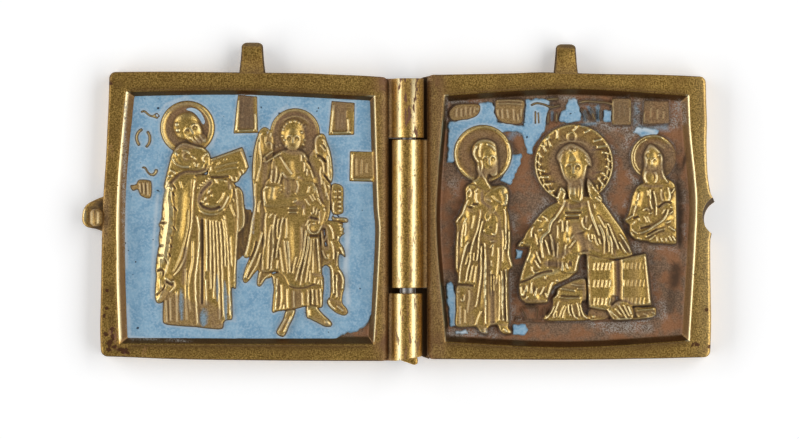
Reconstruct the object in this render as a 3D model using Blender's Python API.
"""Travel diptych: two cast brass leaves with enamelled low relief, a three-knuckle hinge and a snap catch.

It lies open on its back, faces up. Sizes below are in millimetres. Every mesh is drawn about the hinge:
x = 0 is the hinge axis, y = 0 the middle of the leaves' height, z = 0 the back.
"""

import math

import bmesh
import bpy
import numpy as np

MM = 0.001

# ---- driving sizes
THICK = 3.6  # frame thickness of a leaf
FLOOR = 2.1  # height of the recess floor above the back
AXIS_Z = THICK + 0.1  # the hinge axis lies just above the leaves' faces, so that they close face to face
LEAF_MID = 25.0  # from the hinge axis to the middle of each leaf
BARREL = 2.4  # knuckle radius
BORE = 1.19  # pin hole through the knuckles, radius
PIN = 1.14  # pin radius
REACH_LEFT = 51.3  # from the axis to the tip of the catch lug
REACH_RIGHT = 48.1  # from the axis to the horn above the notch
REACH_TOP = 27.35  # to the top of the suspension loops
REACH_BOTTOM = 23.3  # to the pin's peened end
ENAMEL_TOP = 0.45  # enamel surface above the recess floor
ENAMEL_GAP = 0.12  # clearance under the enamel
WALL = 0.5  # width over which a figure's side rises
INSET = 0.15  # how far a figure's foot keeps inside its outline, clear of the enamel
LEAF_TRIANGLES = 3300
CELL = 0.2  # sampling step over a recess

AXIS = ((REACH_LEFT - REACH_RIGHT) / 2 * MM, (REACH_BOTTOM - REACH_TOP) / 2 * MM, AXIS_Z * MM)


# ---------------------------------------------------------------- curves
def smooth(points, closed=True, steps=3):
    """Catmull-Rom curve through the points."""
    p = np.array(points, float)
    count = len(p)
    out = []
    for k in range(count if closed else count - 1):
        if closed:
            a, b, c, d = (p[(k + i) % count] for i in (-1, 0, 1, 2))
        else:
            a, b, c, d = (p[min(max(k + i, 0), count - 1)] for i in (-1, 0, 1, 2))
        for t in np.arange(steps) / steps:
            cubic = (3 * b - a - 3 * c + d) * t ** 3
            out.append(0.5 * (2 * b + (c - a) * t + (2 * a - 5 * b + 4 * c - d) * t * t + cubic))
    if not closed:
        out.append(p[-1])
    return np.array(out)


def arc(cx, cy, rx, ry, start=0.0, end=360.0, count=24):
    angle = np.radians(np.linspace(start, end, count, endpoint=end - start < 360))
    return np.stack([cx + rx * np.cos(angle), cy + ry * np.sin(angle)], 1)


def box(x0, y0, x1, y1):
    return np.array([(x0, y0), (x1, y0), (x1, y1), (x0, y1)], float)


def between(first, last, count):
    """Lines spaced evenly from the first line to the last, which have as many points as each other."""
    first, last = np.array(first, float), np.array(last, float)
    return [first + (last - first) * t for t in np.linspace(0, 1, count)]


def band(points, half):
    """Closed outline of a stroke of constant width along a curve."""
    line = smooth(points, closed=False, steps=2)
    run = np.gradient(line, axis=0)
    run /= np.linalg.norm(run, axis=1)[:, None]
    side = np.stack([-run[:, 1], run[:, 0]], 1) * half
    return np.concatenate([line + side, (line - side)[::-1]])


def ramp(t):
    t = np.clip(t, 0, 1)
    return t * t * (3 - 2 * t)


# ---------------------------------------------------------------- relief
class Relief:
    """Heights above the recess floor at the points of a grid, raised shape by shape."""

    def __init__(self, x, y):
        self.x, self.y = x, y
        self.height = np.zeros_like(x)
        self.outlines = []

    def near(self, line, reach):
        low, high = line.min(0) - reach, line.max(0) + reach
        rows = np.where((self.y.max(1) > low[1]) & (self.y.min(1) < high[1]))[0]
        cols = np.where((self.x.max(0) > low[0]) & (self.x.min(0) < high[0]))[0]
        return slice(rows[0], rows[-1] + 1), slice(cols[0], cols[-1] + 1)

    def distance(self, where, line, closed):
        """Distance to the line, how far along it, and whether the point is inside it."""
        x, y = self.x[where], self.y[where]
        best = np.full(x.shape, 1e9)
        along = np.zeros(x.shape)
        inside = np.zeros(x.shape, bool)
        count = len(line) if closed else len(line) - 1
        for k in range(count):
            (ax, ay), (bx, by) = line[k], line[(k + 1) % len(line)]
            dx, dy = bx - ax, by - ay
            t = np.clip(((x - ax) * dx + (y - ay) * dy) / max(dx * dx + dy * dy, 1e-12), 0, 1)
            gap = np.hypot(x - ax - t * dx, y - ay - t * dy)
            along = np.where(gap < best, (k + t) / count, along)
            best = np.minimum(best, gap)
            if closed and ay != by:
                inside ^= ((ay > y) != (by > y)) & (x < ax + (y - ay) * dx / dy)
        return best, along, inside

    def plate(self, outline, top, pillow=0.0, reach=2.0, on_floor=True):
        """Raises the inside of an outline to a height, swelling towards its middle."""
        where = self.near(outline, 0.3)
        depth, _, inside = self.distance(where, outline, True)
        depth = np.where(inside, depth - INSET, 0.0)
        swell = pillow * np.sqrt(1 - (1 - np.clip(depth / reach, 0, 1)) ** 2)
        raised = top * ramp(depth / WALL) + swell * (depth > 0)
        self.height[where] = np.maximum(self.height[where], raised)
        if on_floor:
            self.outlines.append(outline)

    def folds(self, lines, half=0.55, rise=0.3):
        """Adds rounded folds along curves; a negative rise cuts grooves."""
        for points in lines:
            line = smooth(points, closed=False)
            where = self.near(line, half)
            gap, along, _ = self.distance(where, line, False)
            taper = ramp(along * 5 + 0.2) * ramp((1 - along) * 5 + 0.2)
            raised = self.height[where] > 0.4
            self.height[where] += rise * np.clip(1 - (gap / half) ** 2, 0, 1) ** 2 * taper * raised

    def cap(self, cx, cy, rx, ry, top):
        """Raises an ellipsoid cap, as for a head or a hand, on what lies below it."""
        where = self.near(arc(cx, cy, rx, ry), 0.1)
        x, y = self.x[where], self.y[where]
        inside = np.clip(1 - ((x - cx) / rx) ** 2 - ((y - cy) / ry) ** 2, 0, 1)
        base = 0.6
        lift = np.where(inside > 0, base + (top - base) * np.sqrt(inside), 0)
        self.height[where] = np.maximum(self.height[where], lift)

    def halo(self, cx, cy, radius, rim):
        self.plate(arc(cx, cy, radius, radius, count=32), 0.55)
        self.folds([arc(cx, cy, radius - rim, radius - rim, 0, 359, count=24)], rim, 0.2)

    def tablet(self, x0, y0, x1, y1):
        self.plate(box(x0, y0, x1, y1), 0.95)
        self.folds([[(x0 + 0.9, y0 + 1.0), (x1 - 0.9, y0 + 1.0)], [(x0 + 0.9, y1 - 1.0), (x1 - 0.9, y1 - 1.0)]],
                   0.5, -0.3)


# ---------------------------------------------------------------- left leaf's figures
def left_marks(relief):
    relief.plate(band([(-17.0, 16.3), (-15.8, 16.2), (-14.0, 15.6)], 0.5), 0.7)
    relief.plate(arc(-16.4, 12.4, 1.3, 1.7, count=16), 0.7)
    relief.plate(band([(-16.8, 7.6), (-16.0, 7.8), (-14.2, 6.4)], 0.5), 0.7)
    relief.plate(box(-18.2, 3.3, -15.2, 5.6), 0.7)
    relief.tablet(-2.5, 13.0, 1.5, 19.2)
    relief.tablet(12.5, 12.6, 16.6, 19.0)
    relief.tablet(15.8, 5.4, 19.8, 10.3)


def monk(relief):
    """Standing monk in a long mantle, turned to the right, with an open book."""
    relief.halo(-9.6, 14.1, 4.4, 0.5)
    robe = [(-12.0, 10.6), (-13.1, 6.0), (-13.9, 2.0), (-14.2, -3.0), (-14.8, -8.0), (-14.7, -12.5), (-13.6, -13.6),
            (-13.6, -16.5), (-12.5, -17.1), (-8.8, -17.4), (-7.8, -18.3), (-6.8, -17.2), (-4.2, -17.7),
            (-2.7, -16.1), (-2.4, -11.2), (-1.8, -7.0), (-1.5, -1.0), (-1.7, 2.0), (-2.1, 4.8), (-5.6, 9.8),
            (-8.5, 11.4)]
    relief.plate(smooth(robe), 0.75, 0.25)
    relief.folds([[(-8.4, 6.0), (-9.0, 0.0), (-9.8, -5.5), (-11.6, -9.3)], [(-12.4, 5.0), (-11.8, -2.0), (-13.2, -10.0)],
                  [(-10.4, 5.0), (-10.2, 0.0), (-11.0, -5.0)]])
    relief.folds([[(-8.2, -0.3), (-8.0, -8.0), (-8.1, -17.0)], [(-12.4, -11.0), (-12.4, -16.8)],
                  [(-10.4, -9.6), (-10.2, -16.8)]])
    relief.folds(between([(-6.2, -1.0), (-6.4, -16.6)], [(-2.7, -1.0), (-3.2, -15.6)], 4), 0.5, 0.3)
    relief.plate(smooth([(-8.0, 4.2), (-6.0, 5.8), (-2.6, 4.0), (-2.8, 1.2), (-5.4, 0.0), (-7.6, 1.2)]), 1.0, 0.2,
                 on_floor=False)
    relief.plate(smooth([(-12.4, 10.4), (-13.0, 5.4), (-8.6, 6.2), (-6.0, 9.0), (-8.4, 11.2)]), 1.05, 0.15)
    relief.plate(np.array([(-6.0, 9.2), (-1.0, 10.9), (0.0, 7.5), (-2.0, 5.0), (-5.6, 4.6)]), 1.0)
    relief.cap(-9.3, 13.6, 2.7, 2.9, 1.38)
    relief.cap(-6.4, 2.9, 1.1, 0.8, 1.4)


def angel(relief):
    """Guardian angel, full face, with folded wings and a tunic to the shins."""
    relief.halo(7.3, 13.2, 4.0, 0.4)
    left_wing = [(2.2, 14.1), (1.0, 11.5), (0.5, 6.5), (0.8, 2.0), (0.2, -3.0), (-0.9, -8.0), (-0.9, -10.4),
                 (1.4, -10.9), (4.2, -8.0), (4.4, 0.0), (4.4, 8.0), (4.0, 11.6)]
    right_wing = [(11.2, 13.1), (9.6, 11.0), (9.0, 4.0), (10.6, -1.0), (12.6, -0.2), (13.2, 5.0), (13.0, 9.0),
                  (12.2, 12.6)]
    relief.plate(smooth(left_wing), 0.75, 0.15)
    relief.plate(smooth(right_wing), 0.75, 0.15)
    relief.folds([[(2.2, 12.6), (1.6, 7.0), (2.0, 1.0), (0.6, -6.0), (0.0, -10.0)], [(2.8, 1.0), (2.4, -5.0), (1.2, -10.0)],
                  [(11.4, 12.0), (12.0, 7.0), (12.0, 1.0)]])
    body = [(4.1, 11.2), (3.4, 6.4), (2.2, 4.2), (2.4, 1.6), (3.6, 0.2), (3.3, -8.8), (3.7, -15.0), (6.5, -14.8),
            (9.2, -14.1), (11.5, -14.4), (11.5, -8.0), (11.2, -1.5), (10.7, 4.0), (10.2, 9.0), (7.4, 11.3)]
    relief.plate(smooth(body), 0.85, 0.3)
    relief.folds(between([(4.8, 0.4), (3.9, -8.2)], [(8.6, 0.4), (10.7, -9.4)], 5), 0.5, 0.32)
    relief.folds(between([(4.4, -10.2), (4.4, -14.4)], [(10.8, -11.0), (10.9, -13.8)], 5), 0.5, 0.28)
    relief.folds([[(3.5, -9.0), (6.0, -11.0), (9.0, -11.0), (11.3, -9.8)], [(9.0, -0.6), (10.6, -1.4), (9.2, -2.6)]])
    relief.folds(between([(5.0, 9.0), (5.8, 4.4)], [(9.2, 9.0), (7.8, 5.4)], 3), 0.5, 0.28)
    relief.folds([[(2.6, 2.6), (5.0, 2.4), (7.4, 2.7)], [(7.6, 4.2), (9.0, 4.3), (10.4, 5.2)]], 0.8, 0.4)
    relief.cap(7.0, 12.9, 2.2, 2.7, 1.38)
    relief.plate(smooth([(6.0, -14.4), (7.4, -14.4), (6.9, -16.6), (5.6, -18.4), (4.8, -18.3), (5.8, -16.4)]), 0.9, 0.2)
    relief.plate(smooth([(9.1, -13.8), (10.8, -13.8), (13.2, -16.8), (12.3, -17.4), (9.4, -16.0)]), 0.9, 0.2)


def sword(relief):
    """Sword hilt at the angel's side, with drapery and scabbard below it."""
    relief.plate(smooth([(13.1, 5.1), (14.5, 5.1), (15.0, 2.4), (14.9, 0.0), (12.4, 0.0), (12.4, 3.0)]), 0.9, 0.15)
    relief.plate(box(12.4, -1.0, 15.7, 0.4), 1.1)
    cloth = [(11.0, 0.2), (13.6, -0.2), (15.1, -1.4), (14.3, -3.6), (15.3, -5.8), (14.2, -7.4), (15.4, -10.2),
             (15.1, -12.9), (15.6, -15.4), (13.2, -14.6), (12.4, -13.2), (12.7, -8.2), (11.4, -7.2)]
    relief.plate(smooth(cloth), 0.85, 0.15)
    relief.folds([[(13.3, -1.4), (13.4, -7.4), (13.5, -12.6)], [(14.2, -8.2), (14.8, -10.2), (14.6, -12.8)]], 0.5, 0.3)


# ---------------------------------------------------------------- right leaf's figures
def right_marks(relief):
    relief.plate(smooth([(-18.4, 16.2), (-17.2, 17.6), (-13.7, 17.6), (-14.6, 15.2), (-18.0, 15.2)]), 0.7, 0.1)
    relief.plate(smooth([(-11.3, 16.9), (-10.6, 14.9), (-7.1, 14.5), (-6.7, 17.9), (-10.9, 18.3)]), 0.7)
    for points in ([(-5.7, 17.5), (-4.2, 17.8), (-0.9, 17.5)], [(-4.7, 17.2), (-4.7, 14.2)], [(-2.2, 17.0), (-2.2, 14.4)],
                   [(1.6, 17.3), (4.4, 17.6), (7.0, 17.3)], [(3.0, 17.2), (3.0, 15.0)], [(5.0, 17.2), (5.0, 15.0)]):
        relief.plate(band(points, 0.5), 0.7)
    relief.tablet(7.2, 14.3, 10.2, 19.2)
    relief.tablet(11.9, 14.3, 16.2, 18.4)


def standing_woman(relief):
    """Veiled woman in profile, turned to the middle, in a long mantle."""
    relief.halo(-13.3, 9.7, 4.7, 0.4)
    robe = [(-13.9, 6.6), (-15.4, 4.9), (-16.3, 2.0), (-17.5, -0.8), (-17.6, -8.0), (-17.2, -11.4), (-17.5, -17.3),
            (-14.4, -17.5), (-12.8, -18.5), (-11.8, -17.3), (-10.0, -18.2), (-8.9, -18.2), (-9.3, -8.2), (-8.7, -7.6),
            (-9.1, 1.2), (-9.0, 3.6), (-9.9, 4.9), (-12.0, 5.4)]
    relief.plate(smooth(robe), 0.75, 0.25)
    relief.folds([[(-15.4, 4.4), (-17.0, -0.6)], [(-13.2, -0.2), (-15.2, -5.0), (-16.8, -10.4)],
                  [(-13.3, -2.0), (-14.2, -6.0), (-15.0, -10.4)], [(-16.6, -2.0), (-16.9, -6.0)]])
    relief.folds([[(-12.9, -3.6), (-12.8, -17.0)], [(-14.2, -11.6), (-14.4, -17.0)], [(-15.8, -11.8), (-16.0, -17.0)],
                  [(-9.7, 1.0), (-9.4, -7.4)], [(-9.8, -8.4), (-9.8, -16.8)], [(-11.2, -4.0), (-11.2, -12.0)]])
    relief.plate(smooth([(-15.2, 4.6), (-12.4, 4.4), (-9.8, 4.8), (-9.3, 2.2), (-12.6, 1.4), (-15.2, 1.4)]), 1.05, 0.15,
                 on_floor=False)
    relief.plate(smooth([(-13.2, 12.1), (-14.9, 10.1), (-14.1, 7.4), (-14.0, 5.2), (-12.0, 4.8), (-10.8, 8.4),
                         (-11.6, 11.6)]), 1.1, 0.2, on_floor=False)
    relief.cap(-12.3, 8.9, 1.4, 2.4, 1.38)


def enthroned(relief):
    """Seated central figure with a scalloped halo, blessing, with an open book on the knee."""
    relief.halo(1.1, 8.3, 6.25, 0.6)
    petals = [arc(1.1, 8.3, 5.3, 5.3, a, a + 9, count=3) for a in range(-35, 216, 28)]
    relief.folds(petals, 0.6, 0.25)
    robe = [(-1.6, 3.2), (-5.3, -0.6), (-6.8, -3.7), (-7.8, -4.6), (-6.1, -5.2), (-6.5, -7.0), (-7.4, -9.8),
            (-7.6, -12.3), (-6.8, -13.4), (-3.2, -13.4), (-2.5, -14.6), (-3.3, -16.2), (3.2, -16.2), (2.9, -13.0),
            (9.8, -12.0), (10.4, -5.8), (10.0, -3.0), (5.4, 2.9), (3.4, 3.4)]
    relief.plate(smooth(robe), 0.75, 0.3)
    relief.folds([[(-0.4, 2.6), (-2.0, 0.0), (-3.0, -2.5), (-4.0, -6.0)], [(3.4, 2.2), (4.7, -2.4), (4.9, -5.4)],
                  [(-5.4, -1.4), (-5.4, -4.0)], [(-6.2, -5.6), (-7.1, -9.4)], [(2.0, -7.6), (-1.8, -11.0), (-2.8, -13.0)]])
    relief.folds(between([(5.6, 0.4), (6.2, -5.6)], [(7.0, 0.2), (9.6, -5.2)], 3), 0.5, 0.3)
    relief.folds(between([(-6.8, -10.4), (-6.8, -12.6)], [(-2.8, -10.6), (-3.4, -12.6)], 4), 0.45, 0.3)
    relief.folds(between([(-1.0, -13.2), (-2.6, -15.8)], [(1.8, -13.2), (2.6, -15.8)], 4), 0.45, 0.28)
    relief.plate(smooth([(-0.9, -8.7), (-0.8, -6.0), (0.6, -2.8), (1.5, -2.9), (2.0, -5.6), (1.5, -8.7)]), 1.15, 0.1,
                 on_floor=False)
    relief.plate(np.array([(3.0, -5.8), (7.9, -6.9), (12.5, -5.8), (13.3, -13.8), (8.2, -14.6), (3.4, -14.1)]), 1.1)
    relief.folds([[(8.0, -6.0), (8.2, -15.0)]], 0.8, -0.35)
    relief.folds([[(x, y), (x + 2.4, y)] for x in (4.3, 9.6) for y in (-8.0, -10.2, -12.4)], 0.45, -0.2)
    relief.plate(smooth([(6.4, -15.4), (8.4, -13.3), (10.0, -13.9), (13.6, -13.9), (14.0, -15.0), (12.0, -16.1),
                         (7.4, -16.0)]), 1.0, 0.1)
    relief.plate(box(-8.0, -16.2, -3.0, -14.0), 0.65)
    hair = [(0.9, 11.4), (-1.7, 9.4), (-0.9, 6.2), (-0.2, 3.6), (0.6, 2.2), (2.4, 2.2), (2.8, 5.0), (3.7, 9.0),
            (3.0, 10.6)]
    relief.plate(smooth(hair), 1.0, 0.2, on_floor=False)
    relief.plate(smooth([(3.2, 5.9), (5.3, 2.5), (3.6, 2.2), (3.0, 4.2)]), 1.0, 0.1, on_floor=False)
    relief.cap(1.0, 7.2, 1.7, 3.2, 1.4)
    relief.cap(1.2, 4.4, 1.4, 2.4, 1.3)


def bearded_bust(relief):
    """Half figure of a bearded elder under a small halo, folding its arms."""
    relief.halo(13.6, 9.4, 3.6, 0.4)
    bust = [(11.6, 5.1), (9.6, 2.2), (9.0, -0.5), (10.0, -2.8), (11.4, -3.9), (12.8, -4.1), (17.4, -4.2), (17.6, 0.0),
            (17.2, 4.4), (15.4, 6.0), (13.4, 5.6)]
    relief.plate(smooth(bust), 0.8, 0.2)
    relief.folds([[(10.4, 3.4), (10.2, -2.0)], [(12.8, 4.4), (12.8, 0.0)], [(15.6, 4.6), (15.4, -0.6)],
                  [(10.4, -2.2), (12.2, -3.4), (16.8, -3.4)]])
    relief.plate(smooth([(13.3, 11.5), (12.0, 10.2), (12.2, 7.8), (14.8, 7.2), (14.9, 9.6)]), 1.0, 0.15, on_floor=False)
    relief.cap(13.3, 9.0, 1.3, 2.2, 1.38)
    relief.cap(13.1, 6.1, 1.3, 1.4, 1.35)


# ---------------------------------------------------------------- leaf castings
def through(points):
    """A function that follows points (place, value) smoothly, for a leaf's slightly uneven edges."""
    place, value = zip(*sorted(points))
    return lambda t: np.interp(t, *np.array(smooth(list(zip(place, value)), closed=False, steps=8)).T)


class LeafShape:
    """Edges of a leaf, about its own middle: outer outline, frame's inner edge and recess floor's edge."""

    def __init__(self, outer, inner, bevels):
        self.outer = [through(side) for side in outer]
        self.inner = [through(side) for side in inner]
        self.bevels = bevels

    def stops(self, side_low, side_high, at):
        """Outer edge, inner edge and floor edge on the low side, then the same on the high side, inwards out."""
        low, high = self.inner[side_low](at), self.inner[side_high](at)
        return [self.outer[side_low](at), low, low + self.bevels[side_low],
                high - self.bevels[side_high], high, self.outer[side_high](at)]


LEFT, RIGHT, BOTTOM, TOP = range(4)

LEFT_SHAPE = LeafShape(
    outer=[[(-22.0, -22.9), (-2.6, -22.85), (5.6, -22.55), (22.2, -21.7)],
           [(-22.6, 22.0), (0.0, 22.0), (21.7, 22.0)],
           [(-22.9, -22.0), (0.0, -22.35), (22.0, -22.6)],
           [(-21.7, 22.2), (0.6, 22.6), (22.0, 21.7)]],
    inner=[[(-19.9, -20.3), (-8.2, -20.7), (4.8, -20.55), (19.7, -19.2)],
           [(-20.0, 19.8), (-3.4, 20.7), (2.3, 20.4), (18.6, 19.9)],
           [(-20.3, -20.1), (0.0, -20.2), (19.8, -20.2)],
           [(-19.2, 19.7), (-1.0, 19.95), (19.9, 19.0)]],
    bevels=(1.6, 1.2, 1.1, 1.2))

RIGHT_SHAPE = LeafShape(
    outer=[[(-22.5, -22.0), (0.0, -22.0), (22.0, -22.0)],
           [(-22.3, 22.7), (-3.0, 22.65), (2.8, REACH_RIGHT - LEAF_MID), (5.6, 22.7), (10.8, 22.1), (22.0, 21.6)],
           [(-22.0, -22.5), (0.0, -22.5), (22.7, -22.3)],
           [(-22.0, 22.05), (0.0, 22.5), (21.7, 22.3)]],
    inner=[[(-19.6, -19.1), (-4.1, -20.5), (5.6, -20.4), (18.9, -19.25)],
           [(-19.3, 19.3), (-4.1, 20.2), (3.3, 20.4), (12.6, 19.5), (18.9, 19.2)],
           [(-19.1, -19.8), (0.0, -20.7), (19.3, -19.6)],
           [(-19.25, 19.1), (0.0, 20.2), (19.2, 19.1)]],
    bevels=(0.8, 1.4, 1.2, 1.2))


def object_from(name, mesh, material=None):
    """Links a mesh as an object whose origin is on the hinge axis."""
    made = bpy.data.objects.new(name, mesh)
    made.location = AXIS
    bpy.context.collection.objects.link(made)
    if material:
        mesh.materials.append(material)
    return made


def mesh_from(name, points, faces):
    """Makes a mesh from millimetre points, measured from the hinge axis's height down."""
    mesh = bpy.data.meshes.new(name)
    mesh.from_pydata([(x * MM, y * MM, (z - AXIS_Z) * MM) for x, y, z in points], [], faces)
    clean = bmesh.new()
    clean.from_mesh(mesh)
    bmesh.ops.recalc_face_normals(clean, faces=clean.faces)
    clean.to_mesh(mesh)
    clean.free()
    return mesh


def prism(name, outline, low, high, axis="z"):
    """Extrudes an outline. Along z its points are (x, y); along y they are (x, z); along x they are (y, z)."""
    order = {"z": lambda a, b, c: (a, b, c), "y": lambda a, b, c: (a, c, b), "x": lambda a, b, c: (c, a, b)}[axis]
    count = len(outline)
    points = [order(a, b, level) for level in (low, high) for a, b in outline]
    faces = [tuple(range(count)), tuple(range(count, 2 * count))]
    faces += [(k, (k + 1) % count, count + (k + 1) % count, count + k) for k in range(count)]
    return object_from(name, mesh_from(name, points, faces))


def as_cutter(made):
    made.hide_render = True
    made.display_type = "WIRE"
    return made


def combine(target, operation, pieces):
    for piece in pieces:
        boolean = target.modifiers.new(piece.name, "BOOLEAN")
        boolean.operation = operation
        boolean.object = as_cutter(piece)


def leaf_lines(stops, cell):
    """Grid lines across a leaf as (span number, part of span): few over the frame, many over the recess."""
    counts = [3, 3, int(round((stops[3] - stops[2]) / cell)), 3, 3]
    lines = [(span, k / n) for span, n in enumerate(counts) for k in range(n)]
    return lines + [(4, 1.0)]


def spread(lines, stops):
    """Places of the grid lines between the given stops, which are numbers or arrays."""
    return np.array([stops[span] + (stops[span + 1] - stops[span]) * part for span, part in lines])


def round_corners(x, y, shape, radius=1.0):
    """Draws the square corners of the grid's rim onto quarter circles."""
    for sx, side_x in ((-1, LEFT), (1, RIGHT)):
        for sy, side_y in ((-1, BOTTOM), (1, TOP)):
            cx = shape.outer[side_x](sy * 22.0) - sx * radius
            cy = shape.outer[side_y](sx * 22.0) - sy * radius
            dx, dy = np.clip((x - cx) * sx, 0, None), np.clip((y - cy) * sy, 0, None)
            corner = (dx > 0) & (dy > 0)
            pull = np.where(corner, np.maximum(dx, dy) / np.maximum(np.hypot(dx, dy), 1e-9), 1.0)
            x = np.where(corner, cx + sx * dx * pull, x)
            y = np.where(corner, cy + sy * dy * pull, y)
    return x, y


def bevel_height(lines):
    """Height of frame and bevel at each grid line: full over the frame, falling to the floor over the bevel."""
    span = np.array([line[0] for line in lines])
    part = np.array([line[1] for line in lines])
    fall = np.select([span == 0, span == 1, span == 2, span == 3], [0 * part, part, 1 + 0 * part, 1 - part], 0.0)
    fall = np.where((span == 4), 0.0, fall)
    return THICK - (THICK - FLOOR) * fall


def casting(name, shape, middle, figures):
    """One leaf as a closed solid: relief and frame in front, flat back. Returns it and its relief."""
    cols = leaf_lines(shape.stops(LEFT, RIGHT, 0.0), CELL)
    rows = leaf_lines(shape.stops(BOTTOM, TOP, 0.0), CELL)
    x_mean = spread(cols, shape.stops(LEFT, RIGHT, 0.0))
    y_mean = spread(rows, shape.stops(BOTTOM, TOP, 0.0))
    x = spread(cols, shape.stops(LEFT, RIGHT, y_mean)).T
    y = spread(rows, shape.stops(BOTTOM, TOP, x_mean))
    x, y = round_corners(x, y, shape)
    relief = Relief(x, y)
    for figure in figures:
        figure(relief)
    frame = np.maximum(bevel_height(cols)[None, :], bevel_height(rows)[:, None])
    z = np.maximum(frame, np.minimum(FLOOR + relief.height, THICK - 0.1))

    height, width = x.shape
    points = [(px + middle, py, pz) for px, py, pz in zip(x.flat, y.flat, z.flat)]
    faces = [(j * width + i, j * width + i + 1, (j + 1) * width + i + 1, (j + 1) * width + i)
             for j in range(height - 1) for i in range(width - 1)]
    rim = [i for i in range(width)] + [j * width + width - 1 for j in range(1, height)]
    rim += [(height - 1) * width + i for i in range(width - 2, -1, -1)] + [j * width for j in range(height - 2, 0, -1)]
    below = len(points)
    points += [(points[k][0], points[k][1], 0.0) for k in rim]
    count = len(rim)
    faces += [(rim[k], rim[(k + 1) % count], below + (k + 1) % count, below + k) for k in range(count)]
    faces.append(tuple(below + k for k in range(count)))

    leaf = object_from(name, mesh_from(name, points, faces), brass())
    thin = leaf.modifiers.new("facets", "DECIMATE")
    thin.ratio = LEAF_TRIANGLES / (2 * (height - 1) * (width - 1) + 3 * count)
    return leaf, relief


# ---------------------------------------------------------------- materials
def plain(name, colour, metallic, roughness):
    made = bpy.data.materials.get(name) or bpy.data.materials.new(name)
    made.use_nodes = True
    shader = made.node_tree.nodes["Principled BSDF"]
    shader.inputs["Base Color"].default_value = (*colour, 1.0)
    shader.inputs["Metallic"].default_value = metallic
    shader.inputs["Roughness"].default_value = roughness
    return made


def brass():
    return plain("brass", (0.36, 0.26, 0.11), 1.0, 0.38)


def enamel():
    return plain("enamel", (0.19, 0.36, 0.55), 0.0, 0.3)


def steel():
    return plain("steel", (0.35, 0.35, 0.36), 1.0, 0.45)


# ---------------------------------------------------------------- hinge, loops, catch
KNUCKLES = {"top": (12.35, 21.6), "middle": (-11.2, 12.05), "bottom": (-22.0, -12.0)}


def knuckle(place, side):
    """A hinge barrel with the web that joins it to its leaf; side is -1 for the left leaf and 1 for the right."""
    low, high = KNUCKLES[place]
    barrel = arc(0.0, AXIS_Z, BARREL, BARREL, count=24)
    web = [(side * px, pz) for px, pz in ((3.5, 0.5), (2.2, 0.9), (0.0, 1.5), (0.0, 3.5), (2.2, 3.5), (3.5, 3.5))]
    return [prism(f"{place}_web", web, low + 0.05, high - 0.05, "y"),
            prism(f"{place}_barrel", barrel, low, high, "y")]


def bore():
    return prism("bore", arc(0.0, AXIS_Z, BORE, BORE, count=24), -24.0, 24.0, "y")


def suspension_loop(name, low, high, top):
    """An eye cast on the top edge, pierced from side to side for a cord."""
    radius = THICK / 2 - 0.02
    crown = arc(top - radius, radius + 0.02, radius, radius, -90, 90, count=9)
    profile = [tuple(point) for point in crown] + [(21.8, 2 * radius), (21.8, 0.02)]
    eye = prism(name, profile, low, high, "x")
    hole = prism(f"{name}_hole", arc(top - radius, radius + 0.02, 1.0, 1.0, count=16), low - 1, high + 1, "x")
    return eye, hole


def catch():
    """The lug on the left leaf's outer edge and its springy tongue, nosed to enter the right leaf's notch."""
    edge = -LEAF_MID - 22.0
    tip = -REACH_LEFT + 0.12  # the curve swells this far past its points
    lug = smooth([(edge, 3.4), (-50.2, 3.1), (tip, 1.6), (tip, -0.8), (-50.2, -2.2), (edge, -2.4)], closed=False)
    tongue = [(-49.7, 1.0), (-48.6, 1.0), (-48.5, 3.9), (-47.7, 4.9), (-48.0, 5.7), (-49.0, 6.0), (-49.7, 5.4)]
    return [prism("lug", lug, 0.02, 2.6), prism("tongue", tongue, -0.4, 2.1, "y")]


def notch():
    """A cutter that leans in towards the back, so that the notch's wall slopes out from the front edge."""
    depth, half = 1.35, 2.75
    radius = (half ** 2 + depth ** 2) / (2 * depth)
    middle = LEAF_MID + 21.3 + radius
    count = 48
    rings = [(radius, THICK + 1.0), (radius, THICK), (radius - 0.6, 0.0), (radius - 0.7, -1.0)]
    points = [(middle + r * math.cos(a), 0.25 + r * math.sin(a), z) for r, z in rings
              for a in np.radians(np.arange(count) * 360 / count)]
    faces = [tuple(range(count)), tuple(range(len(points) - count, len(points)))]
    for ring in range(len(rings) - 1):
        first = ring * count
        faces += [(first + k, first + (k + 1) % count, first + count + (k + 1) % count, first + count + k)
                  for k in range(count)]
    return object_from("notch", mesh_from("notch", points, faces))


def hinge_pin():
    """Pin through the knuckles; its lower end is peened over to one side."""
    pin = prism("hinge_pin", arc(0.0, AXIS_Z, PIN, PIN, count=20), -22.5, 21.4, "y")
    pin.data.materials.append(steel())
    count = 12
    rings = [(0.35, -REACH_BOTTOM), (0.6, -REACH_BOTTOM + 0.25), (0.62, -22.55), (0.45, -22.2)]
    points = [(0.85 + r * math.cos(a), y, AXIS_Z + r * math.sin(a)) for r, y in rings
              for a in np.radians(np.arange(count) * 360 / count)]
    faces = [tuple(range(count)), tuple(range(len(points) - count, len(points)))]
    for ring in range(len(rings) - 1):
        first = ring * count
        faces += [(first + k, first + (k + 1) % count, first + count + (k + 1) % count, first + count + k)
                  for k in range(count)]
    combine(pin, "UNION", [object_from("peened_end", mesh_from("peened_end", points, faces))])


# ---------------------------------------------------------------- enamel
def enamel_piece(name, outline, middle, relief):
    """Enamel over an area of a recess floor, left out where figures stand."""
    low, high = FLOOR + ENAMEL_GAP, FLOOR + ENAMEL_TOP
    piece = prism(name, outline + (middle, 0.0), low, high)
    piece.data.materials.append(enamel())
    for number, figure in enumerate(relief.outlines):
        apart = np.any(figure.min(0) > outline.max(0)) or np.any(figure.max(0) < outline.min(0))
        if not apart:
            combine(piece, "DIFFERENCE", [prism(f"{name}_{number}", figure + (middle, 0.0), low - 1, high + 1)])


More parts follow.
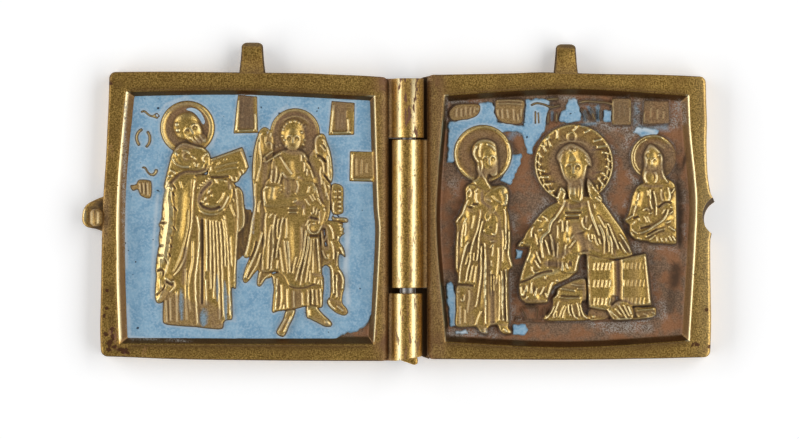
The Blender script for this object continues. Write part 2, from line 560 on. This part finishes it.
def recess_outline(shape, margin=0.1):
    """Edge of the recess floor, drawn in by a margin off the bevels."""
    rise = np.linspace(-18.6, 18.2, 7)
    run = np.linspace(-18.0, 18.6, 7)
    left = [(shape.stops(LEFT, RIGHT, t)[2] + margin, t) for t in rise[::-1]]
    right = [(shape.stops(LEFT, RIGHT, t)[3] - margin, t) for t in rise]
    bottom = [(t, shape.stops(BOTTOM, TOP, t)[2] + margin) for t in run]
    top = [(t, shape.stops(BOTTOM, TOP, t)[3] - margin) for t in run[::-1]]
    return left, bottom, right, top


def left_enamel(relief):
    """Blue ground of the left leaf, chipped away at the lower corner by the hinge."""
    left, bottom, right, top = recess_outline(LEFT_SHAPE)
    chip = [(14.5, -18.4), (17.0, -17.6), (18.9, -16.0)]
    outline = left[:-1] + bottom[1:-2] + chip + right[2:-1] + top[1:-1]
    strip = smooth([(-2.4, 1.0), (0.9, 1.0), (0.6, -3.0), (0.2, -6.0), (-2.4, -6.0)])
    relief.outlines.append(strip)
    enamel_piece("enamel_left", np.array(outline), -LEAF_MID, relief)


RIGHT_ENAMEL = {
    "upper": [(-18.8, 8.5), (-18.5, 14.8), (-15.0, 15.6), (-13.8, 17.9), (-11.6, 17.9), (-10.8, 14.9), (-6.7, 14.2),
              (-6.5, 18.4), (-2.6, 18.5), (-3.6, 13.4), (-5.3, 11.0), (-5.5, 9.9), (-6.2, 10.0), (-6.9, 13.2),
              (-9.5, 13.4), (-13.3, 12.0), (-17.6, 8.6)],
    "middle": [(-7.2, 9.8), (-8.6, 9.7), (-10.4, 5.7), (-8.8, 4.9), (-8.2, 6.5), (-7.2, 8.4)],
    "spot": [(-8.0, -5.2), (-6.9, -5.4), (-7.2, -6.6), (-8.0, -6.6)],
    "lower_left": [(-19.0, -10.6), (-18.2, -10.2), (-17.4, -12.2), (-17.2, -17.2), (-18.4, -17.3), (-18.8, -14.0)],
    "lower_corner": [(-17.6, -18.0), (-16.0, -17.9), (-15.6, -18.4), (-17.4, -18.5)],
    "lower_middle": [(-8.5, -17.0), (-6.5, -16.9), (-6.1, -17.8), (-6.6, -18.6), (-8.5, -18.6)],
    "marks": [(5.7, 14.8), (7.0, 14.9), (7.0, 16.7), (5.8, 16.7)],
    "over_bust": [(11.0, 14.1), (10.4, 13.2), (13.6, 12.0), (14.6, 13.6), (13.0, 14.0)],
}


def right_enamel(relief):
    """Patches of blue that survive in the right leaf's recess."""
    for place, points in RIGHT_ENAMEL.items():
        enamel_piece(f"enamel_right_{place}", np.array(points), LEAF_MID, relief)


# ---------------------------------------------------------------- the diptych
def main():
    for old in list(bpy.data.objects):
        bpy.data.objects.remove(old)

    left, left_relief = casting("leaf_left", LEFT_SHAPE, -LEAF_MID, (left_marks, angel, sword, monk))
    eye, hole = suspension_loop("left_loop", -LEAF_MID - 1.1, -LEAF_MID + 2.25, REACH_TOP)
    combine(left, "UNION", [eye, *catch(), *knuckle("top", -1), *knuckle("bottom", -1)])
    combine(left, "DIFFERENCE", [hole, bore()])

    right, right_relief = casting("leaf_right", RIGHT_SHAPE, LEAF_MID,
                                  (right_marks, bearded_bust, standing_woman, enthroned))
    eye, hole = suspension_loop("right_loop", LEAF_MID - 1.7, LEAF_MID + 1.4, REACH_TOP - 0.25)
    combine(right, "UNION", [eye, *knuckle("middle", 1)])
    combine(right, "DIFFERENCE", [hole, notch(), bore()])

    hinge_pin()
    left_enamel(left_relief)
    right_enamel(right_relief)


main()
